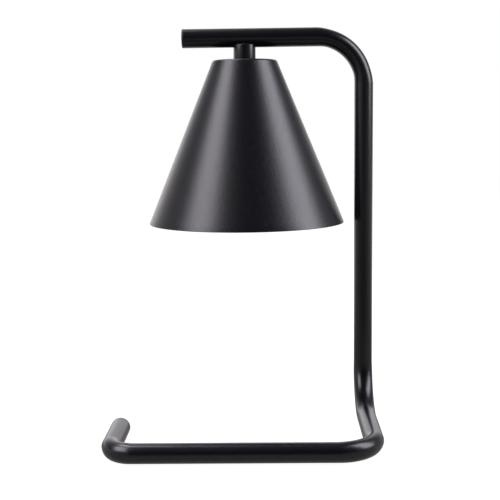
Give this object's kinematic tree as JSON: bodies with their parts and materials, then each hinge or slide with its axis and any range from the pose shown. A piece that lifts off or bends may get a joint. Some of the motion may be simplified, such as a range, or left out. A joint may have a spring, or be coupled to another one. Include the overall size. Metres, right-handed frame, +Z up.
{
  "type": "candle warmer",
  "caption": "Candle warmer: a conical shade with a twist-lock lamp hangs from the arm of a bent tube stand with a U-shaped base open to the rear.",
  "frame": {"origin": "on the floor, at the middle of the bounding box's bottom", "axes": "+Z up; the front bar of the base towards -Y; the arm reaches towards -X from the post"},
  "size_m": [0.2238, 0.2254, 0.338],
  "materials": {
    "frame_coat": "satin",
    "shade_coat": "satin",
    "collar_coat": "satin",
    "black_plastic": "satin",
    "plain_steel": "satin",
    "zinc_steel": "satin",
    "white_ceramic": "matte",
    "contact_brass": "satin",
    "lead_sleeve": "satin",
    "clear_plastic": "satin",
    "lamp_ceramic": "matte",
    "pin_nickel": "satin",
    "lamp_mirror": "polished",
    "lamp_glass": "gloss",
    "tungsten": "satin"
  },
  "bodies": {
    "stand": {"frame_tube": "frame_coat", "arm_end_cap": "black_plastic", "base_end_plug": "black_plastic", "base_ballast_bar": "plain_steel", "saddle_nut": "zinc_steel", "neck_collar": "collar_coat", "threaded_nipple": "zinc_steel", "shade": "shade_coat", "flat_washer": "zinc_steel", "lock_washer": "zinc_steel", "shade_nut": "zinc_steel", "holder_bracket": "zinc_steel", "holder_screws": "zinc_steel", "holder_body": "white_ceramic", "left_contact": "contact_brass", "right_contact": "contact_brass", "left_lead": "lead_sleeve", "right_lead": "lead_sleeve", "crimp_caps": "clear_plastic"},
    "lamp": {"lamp_base": "lamp_ceramic", "lamp_pins": "pin_nickel", "lamp_reflector": "lamp_mirror", "lamp_front_glass": "lamp_glass", "lamp_capsule": "lamp_glass", "lamp_filament": "tungsten"}
  },
  "joints": [
    {"name": "lamp_twist", "type": "hinge", "parent": "stand", "child": "lamp", "pos_m": [0.00223, 0.02825, 0.2898], "axis": [0, 0, -1], "range_deg": [0, 25]}
  ]
}
